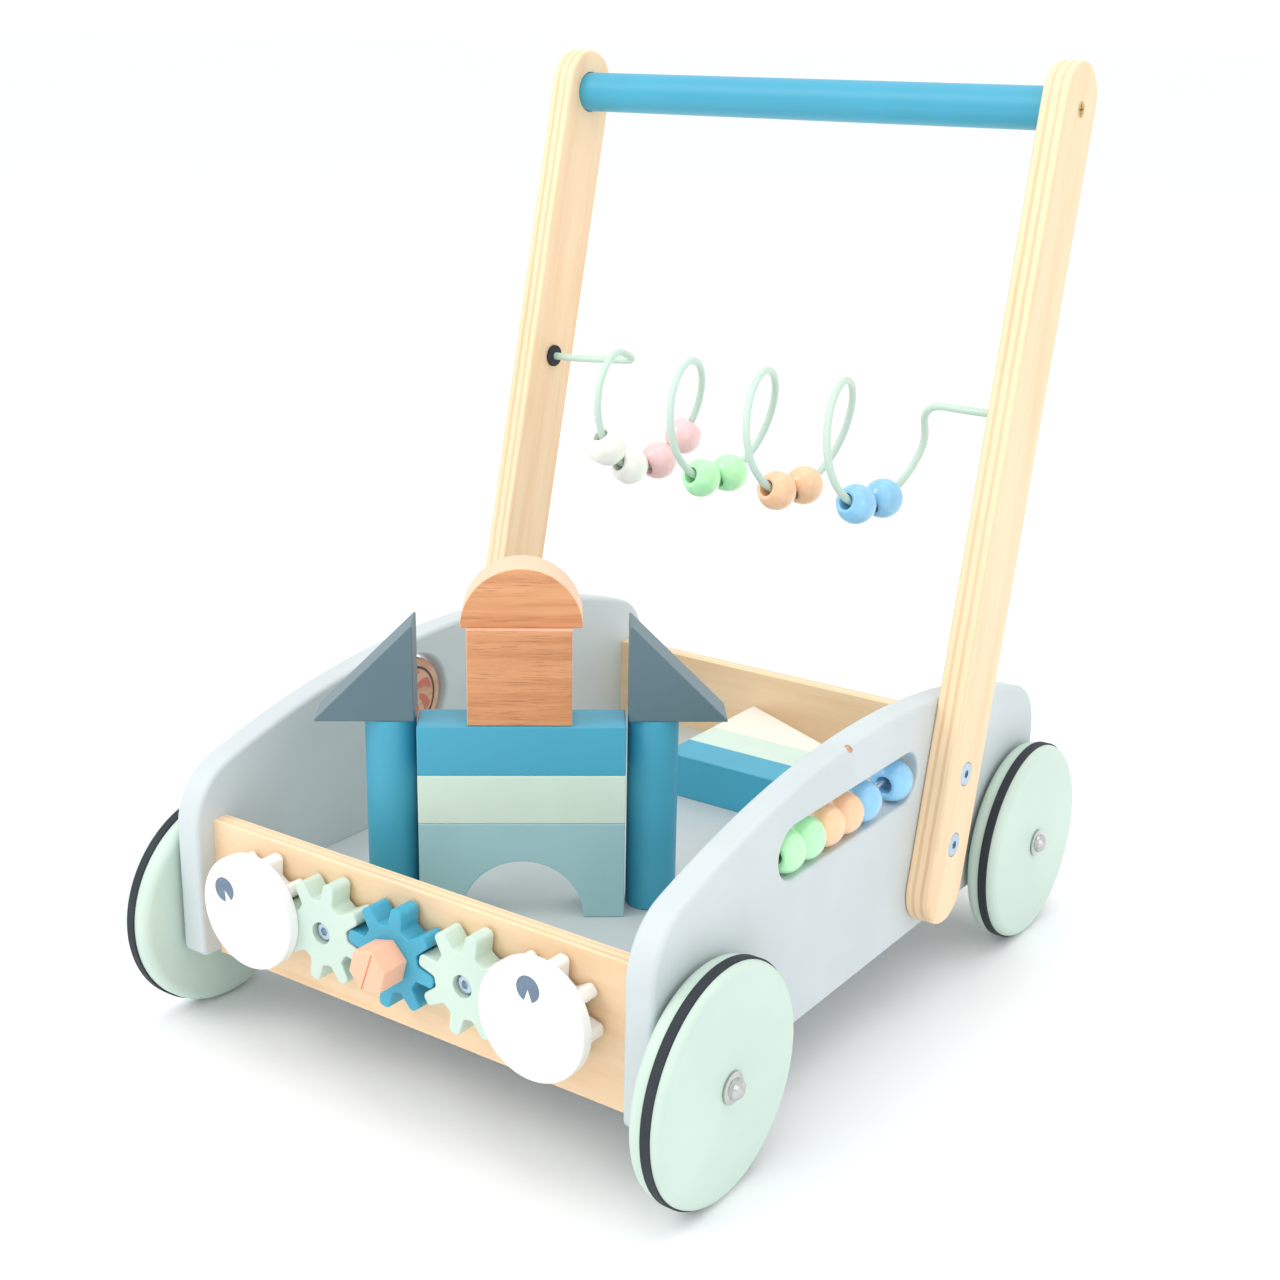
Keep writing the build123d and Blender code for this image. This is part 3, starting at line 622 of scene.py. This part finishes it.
class WALKER_OT_wheels(bpy.types.Operator):
    """Lacquer the wheels and give the tyre rings their rubber"""
    bl_idname = "walker.wheels"
    bl_label = "Wheels"

    def execute(self, context):
        tones = colours()
        mint = lacquer("wheel_lacquer", scaled(tuple_of(tones.mint), WHEEL_MINT), grain=GRAIN_Z)
        black = rubber("ring_rubber", tuple_of(tones.rubber))
        for end in ("front", "rear"):
            for side in ("left", "right"):
                paint(mint, f"wheel_{end}_{side}")
                paint(black, f"tyre_ring_{end}_{side}")
        return {"FINISHED"}


class WALKER_OT_gears(bpy.types.Operator):
    """Lacquer the gear train, the knob and the eyes"""
    bl_idname = "walker.gears"
    bl_label = "Gears"

    def execute(self, context):
        tones = colours()
        mint = lacquer("gear_mint_lacquer", scaled(tuple_of(tones.mint), GEAR_MINT))
        paint(mint, "gear_mint_left", "gear_mint_right")
        paint(lacquer("gear_blue_lacquer", tuple_of(tones.blue)), "gear_blue")
        paint(lacquer("eye_lacquer", tuple_of(tones.white), gloss=0.36),
              "gear_eye_left", "gear_eye_right", "eye_disc_left", "eye_disc_right")
        paint(lacquer("knob_lacquer", tuple_of(tones.coral)), "gear_knob")
        return {"FINISHED"}


class WALKER_OT_pupils(bpy.types.Operator):
    """Print a notched pupil on each eye"""
    bl_idname = "walker.pupils"
    bl_label = "Pupils"

    def execute(self, context):
        size = sizes()
        ink = printed("pupil_ink", tuple_of(colours().ink))
        for side, ((across, up), notch) in PUPILS.items():
            low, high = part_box(f"eye_disc_{side}")
            middle = (low + high) / 2
            pupil = primitive(f"pupil_{side}", bpy.ops.mesh.primitive_circle_add,
                              vertices=CIRCLE_POINTS, radius=size.pupil_radius, fill_type="TRIFAN")
            with Editing(pupil) as edit:
                edit.pick(lambda face: abs((angle_of(face) - notch + 180) % 360 - 180) < NOTCH_HALF_ANGLE)
                bpy.ops.mesh.delete(type="FACE")
                bpy.ops.mesh.select_all(action="SELECT")
                bpy.ops.mesh.extrude_region_move(
                    TRANSFORM_OT_translate={"value": (0, 0, size.ink_thickness)})
                bpy.ops.mesh.select_all(action="SELECT")
                bpy.ops.mesh.normals_make_consistent(inside=False)
            facing = Matrix(((1, 0, 0), (0, 0, -1), (0, 1, 0))).to_4x4()
            spot = Matrix.Translation((middle.x + across, low.y, middle.z + up))
            settle(pupil, spot @ facing)
            finish_piece(pupil, ink, f"{side}_eye_gear", "white_lacquer")
        return {"FINISHED"}


class WALKER_OT_beads(bpy.types.Operator):
    """Turn the drilled beads and string them on the rod and the wire"""
    bl_idname = "walker.beads"
    bl_label = "Beads"

    @staticmethod
    def on_end_circle(line, cut):
        """Whether an edge lies along a circle on one of the bead's flat ends."""
        first, second = (v.co for v in line.verts)
        level = abs(first.z - second.z) < SAME
        round_the_axis = abs(first.xy.length - second.xy.length) < SAME
        return abs(abs(first.z) - cut) < NEAR and level and round_the_axis

    def model(self):
        """One drilled bead about the origin, its bore along Z."""
        size = sizes()
        bead = primitive("bead_pattern", bpy.ops.mesh.primitive_uv_sphere_add,
                         segments=BEAD_SEGMENTS, ring_count=BEAD_RINGS, radius=size.bead_radius)
        latitude = math.radians(RINGS_CUT * 180 / BEAD_RINGS)
        cut = size.bead_radius * math.cos(latitude) + NEAR / 2
        rim = size.bead_radius * math.sin(latitude)
        with Editing(bead) as edit:
            edit.pick(lambda face: max(abs(v.co.z) for v in face.verts) > cut)
            bpy.ops.mesh.delete(type="FACE")
            edit.pick(lambda line: line.is_boundary, "EDGE")
            bpy.ops.mesh.extrude_region_move()
            bpy.ops.transform.resize(value=(size.bead_bore / rim, size.bead_bore / rim, 1.0),
                                     center_override=(0.0, 0.0, 0.0))
            edit.pick(lambda line: line.is_boundary, "EDGE")
            bpy.ops.mesh.bridge_edge_loops()
            edit.pick(lambda line: self.on_end_circle(line, cut), "EDGE")
            bpy.ops.mesh.bevel(offset=size.bore_rim, segments=3, affect="EDGES")
            bpy.ops.mesh.select_all(action="SELECT")
            bpy.ops.mesh.normals_make_consistent(inside=False)
        smooth(bead, 50.0)
        return bead

    def execute(self, context):
        tones = colours()
        gloss = {name: bead_gloss(f"{name}_bead_lacquer", tuple_of(getattr(tones, f"bead_{name}")))
                 for name in ("white", "pink", "green", "orange", "blue")}
        pattern = self.model()
        row = ("green", "green", "orange", "orange", "blue", "blue")
        for number, colour in enumerate(row, start=1):
            node = f"slot_bead_{number}"
            bead = copy_of(pattern, f"bead_on_rod_{number}", placed(centre_of(node), (0, 1, 0)))
            finish_piece(bead, gloss[colour], f"{node}_body", f"bead_{colour}", node)
        for colour, lacquered in gloss.items():
            node = f"wire_beads_{colour}"
            joint = JOINTS[f"{colour}_wire_beads_slip"]
            hinge, axis = Vector(joint["pos_m"]), Vector(joint["axis"])
            along = axis.cross(centre_of(node) - hinge)
            for number, side in enumerate((-1, 1), start=1):
                middle = centre_of_half(node, along * side)
                bead = copy_of(pattern, f"bead_{colour}_{number}", placed(middle, axis.cross(middle - hinge)))
                finish_piece(bead, lacquered, f"{colour}_wire_beads", f"bead_{colour}", node)
        remove(pattern)
        return {"FINISHED"}


class WALKER_OT_spinner(bpy.types.Operator):
    """Varnish the spinning disc and print a swirl on both of its faces"""
    bl_idname = "walker.spinner"
    bl_label = "Spinning disc"

    @staticmethod
    def in_swirl(face):
        """Whether a face lies in one of the swirl's arms, before they are twisted."""
        distance = face.calc_center_median().length
        return SWIRL_INNER < distance < SWIRL_OUTER and angle_of(face) % 360 % SWIRL_STEP < SWIRL_ARM

    @staticmethod
    def in_rim(face):
        """Whether a face lies in the ring round the swirl."""
        return RIM_INNER < face.calc_center_median().length < RIM_OUTER

    def execute(self, context):
        tones = colours()
        size = sizes()
        wood = hardwood("disc_wood", tuple_of(tones.disc_pale), tuple_of(tones.disc_deep), 90.0)
        paint(wood, "spinner_disc")
        low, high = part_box("spinner_disc")
        middle = (low + high) / 2
        inks = {name: printed(f"{name}_ink", tuple_of(getattr(tones, name))) for name in ("swirl", "rim")}
        for face, x in (("inner", high.x), ("outer", low.x)):
            out = 1 if face == "inner" else -1
            for name, wanted in (("swirl", self.in_swirl), ("rim", self.in_rim)):
                mark = primitive(f"disc_{name}_{face}", bpy.ops.mesh.primitive_circle_add,
                                 vertices=CIRCLE_POINTS, radius=RIM_OUTER, fill_type="TRIFAN")
                with Editing(mark) as edit:
                    edit.pick(lambda line: min(v.co.length for v in line.verts) < SAME, "EDGE")
                    bpy.ops.mesh.subdivide(number_cuts=PRINT_RINGS)
                    edit.pick(lambda face: not wanted(face))
                    bpy.ops.mesh.delete(type="FACE")
                    mesh = bmesh.from_edit_mesh(mark.data)
                    radii = sorted({round(v.co.length, 5) for v in mesh.verts})
                    for radius in radii:
                        edit.pick(lambda v: abs(v.co.length - radius) < NEAR, "VERT")
                        bpy.ops.transform.rotate(value=radius / SWIRL_OUTER * SWIRL_TWIST, orient_axis="Z",
                                                 center_override=(0.0, 0.0, 0.0))
                    bpy.ops.mesh.select_mode(type="FACE")
                    bpy.ops.mesh.select_all(action="SELECT")
                    bpy.ops.mesh.extrude_region_move(
                        TRANSFORM_OT_translate={"value": (0, 0, size.ink_thickness)})
                    bpy.ops.mesh.select_all(action="SELECT")
                    bpy.ops.mesh.normals_make_consistent(inside=False)
                settle(mark, placed((x, middle.y, middle.z), (out, 0, 0)))
                finish_piece(mark, inks[name], "spinner", "plain_wood")
        return {"FINISHED"}


class WALKER_OT_blocks(bpy.types.Operator):
    """Finish the loose building blocks"""
    bl_idname = "walker.blocks"
    bl_label = "Building blocks"

    def execute(self, context):
        tones = colours()
        turn = -CASTLE_TURN
        blue = tuple_of(tones.blue)
        paint(lacquer("block_arch_lacquer", tuple_of(tones.arch), turn), "block_arch")
        paint(lacquer("block_mint_lacquer", tuple_of(tones.mint), turn), "block_plank_mint")
        paint(lacquer("block_blue_lacquer", blue, turn), "block_plank_blue")
        paint(lacquer("block_column_lacquer", blue, turn, GRAIN_Z), "block_column_left", "block_column_right")
        paint(lacquer("block_slate_lacquer", tuple_of(tones.slate), turn),
              "block_triangle_left", "block_triangle_right")
        paint(lacquer("rear_blue_lacquer", blue), "rear_block_blue")
        paint(lacquer("rear_mint_lacquer", tuple_of(tones.mint)), "rear_block_mint")
        paint(lacquer("rear_cream_lacquer", tuple_of(tones.cream)), "rear_block_wedge")
        paint(hardwood("block_hardwood", tuple_of(tones.wood_pale), tuple_of(tones.wood_deep), turn,
                       tuple_of(tones.wood_rim)),
              "block_square", "block_half_round")
        return {"FINISHED"}


class WALKER_OT_tack(bpy.types.Operator):
    """Set the small tack into the top edge of the right side panel"""
    bl_idname = "walker.tack"
    bl_label = "Tack"

    def execute(self, context):
        size = sizes()
        low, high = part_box("side_panel_right")
        tack = primitive("tack_right", bpy.ops.mesh.primitive_uv_sphere_add,
                         segments=24, ring_count=12, radius=size.tack_radius)
        with Editing(tack) as edit:
            edit.pick(lambda face: face.calc_center_median().z < 0)
            bpy.ops.mesh.delete(type="FACE")
            edit.pick(lambda line: line.is_boundary, "EDGE")
            bpy.ops.mesh.edge_face_add()
        smooth(tack, 50.0)
        spot = (high.x - TACK_IN, low.y + TACK_BACK, high.z - TACK_DOWN)
        settle(tack, placed(spot, TACK_DIRECTION) @ Matrix.Diagonal((1.0, 1.0, TACK_FLATTEN, 1.0)))
        finish_piece(tack, metal("copper_tack", tuple_of(colours().copper), 0.3), BODY, "brass_screw")
        return {"FINISHED"}


class WALKER_OT_stage(bpy.types.Operator):
    """Lay the pale floor and set the studio lights and the camera"""
    bl_idname = "walker.stage"
    bl_label = "Floor, lights and camera"

    def light(self, name, place, width, power):
        """A square soft light that looks at the walker's middle."""
        lamp = bpy.data.lights.new(name, "AREA")
        lamp.shape = "RECTANGLE"
        lamp.size, lamp.size_y = width, width
        lamp.energy = power
        lamp_object = bpy.data.objects.new(name, lamp)
        bpy.context.scene.collection.objects.link(lamp_object)
        direction = Vector(AIM) - Vector(place)
        lamp_object.location = place
        lamp_object.rotation_euler = direction.to_track_quat("-Z", "Y").to_euler()

    def execute(self, context):
        scene = context.scene
        scene.view_settings.view_transform = "Standard"
        scene.view_settings.look = "None"
        floor = primitive("floor", bpy.ops.mesh.primitive_plane_add, size=FLOOR_SIZE)
        ground = Finish("floor_paper")
        paper = ground.noise(ground.place, scale=220.0, detail=3.0)
        ground.set(Base_Color=ground.blend(paper, (0.925, 0.94, 0.955), (0.955, 0.97, 0.985)), Roughness=0.9,
                   Specular_IOR_Level=0.1)
        floor.data.materials.append(ground.material)
        settle(floor)

        world = bpy.data.worlds.new("studio")
        world.use_nodes = True
        background = world.node_tree.nodes["Background"]
        background.inputs["Color"].default_value = (1.0, 1.0, 1.0, 1.0)
        background.inputs["Strength"].default_value = WORLD_STRENGTH
        scene.world = world
        for light in LIGHTS:
            self.light(*light)
        scene.camera = self.camera()
        return {"FINISHED"}

    def camera(self):
        """The camera, at its place with its roll."""
        camera = bpy.data.cameras.new("camera")
        camera.lens = LENS
        camera.sensor_width = SENSOR
        camera.clip_start = 0.02
        camera.clip_end = 1000.0
        place = Vector(CAMERA_PLACE)
        view = (Vector(CAMERA_TARGET) - place).normalized()
        right = view.cross(Vector((0, 0, 1))).normalized()
        up = right.cross(view)
        roll = math.radians(CAMERA_ROLL)
        across = math.cos(roll) * right + math.sin(roll) * up
        over = -math.sin(roll) * right + math.cos(roll) * up
        eye = bpy.data.objects.new("camera", camera)
        bpy.context.scene.collection.objects.link(eye)
        eye.matrix_world = Matrix.Translation(place) @ Matrix((across, over, -view)).transposed().to_4x4()
        return eye


OPERATORS = (
    WALKER_OT_boards,
    WALKER_OT_handle,
    WALKER_OT_wheels,
    WALKER_OT_gears,
    WALKER_OT_pupils,
    WALKER_OT_beads,
    WALKER_OT_spinner,
    WALKER_OT_blocks,
    WALKER_OT_tack,
    WALKER_OT_stage,
)


class WALKER_PT_panel(bpy.types.Panel):
    """Lists the walker's steps in the sidebar"""
    bl_idname = "WALKER_PT_panel"
    bl_label = "Baby walker"
    bl_space_type = "VIEW_3D"
    bl_region_type = "UI"
    bl_category = "Walker"

    def draw(self, context):
        for operator in OPERATORS:
            self.layout.operator(operator.bl_idname)


CLASSES = (WalkerColours, WalkerSizes, *OPERATORS, WALKER_PT_panel)


def register():
    for item in CLASSES:
        bpy.utils.register_class(item)
    bpy.types.Scene.walker_colours = bpy.props.PointerProperty(type=WalkerColours)
    bpy.types.Scene.walker_sizes = bpy.props.PointerProperty(type=WalkerSizes)


def unregister():
    del bpy.types.Scene.walker_colours
    del bpy.types.Scene.walker_sizes
    for item in reversed(CLASSES):
        bpy.utils.unregister_class(item)


def main():
    """Run every step."""
    register()
    for operator in OPERATORS:
        group, name = operator.bl_idname.split(".")
        getattr(getattr(bpy.ops, group), name)()


if __name__ == "__main__":
    main()
